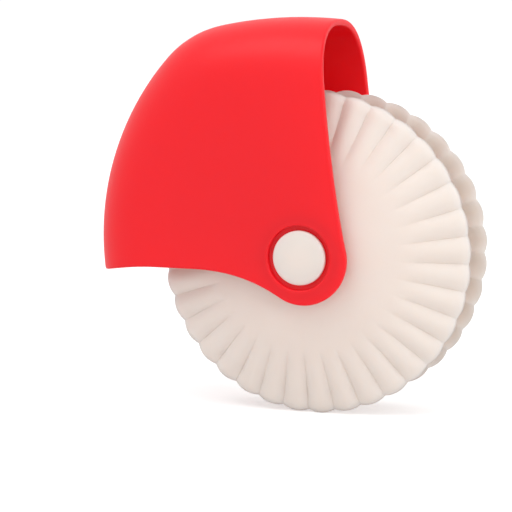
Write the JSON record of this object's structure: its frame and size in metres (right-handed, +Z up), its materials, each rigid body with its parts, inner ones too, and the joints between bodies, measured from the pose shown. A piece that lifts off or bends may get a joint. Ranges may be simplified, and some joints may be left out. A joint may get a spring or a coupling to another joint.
{
  "type": "pastry cutter wheel",
  "caption": "Hand pastry cutter with two fluted, dished wheels side by side on a snap-together axle, under a one-piece curved hood that is also the grip.",
  "frame": {"origin": "on the surface that the wheels stand on, under the middle of the tool's bounding box", "axes": "+X towards the open front of the hood, -Y towards the side of the axle's socket half, +Z up"},
  "size_m": [0.0882, 0.0378, 0.0884],
  "materials": {
    "red_plastic": "satin moulded plastic",
    "ivory_plastic": "satin moulded plastic",
    "sleeve_plastic": "plain moulded plastic"
  },
  "bodies": {
    "root": {"hood": "red_plastic", "axle_socket": "ivory_plastic", "axle_plug": "ivory_plastic", "spacer_sleeve": "sleeve_plastic"},
    "near_wheel": {"near_wheel": "ivory_plastic"},
    "far_wheel": {"far_wheel": "ivory_plastic"}
  },
  "joints": [
    {"name": "near_wheel_spin", "type": "hinge", "parent": "root", "child": "near_wheel", "pos_m": [0.0081, 0, 0.03596], "axis": [0, 1, 0], "continuous": true},
    {"name": "far_wheel_spin", "type": "hinge", "parent": "root", "child": "far_wheel", "pos_m": [0.0081, 0, 0.03596], "axis": [0, 1, 0], "continuous": true}
  ]
}
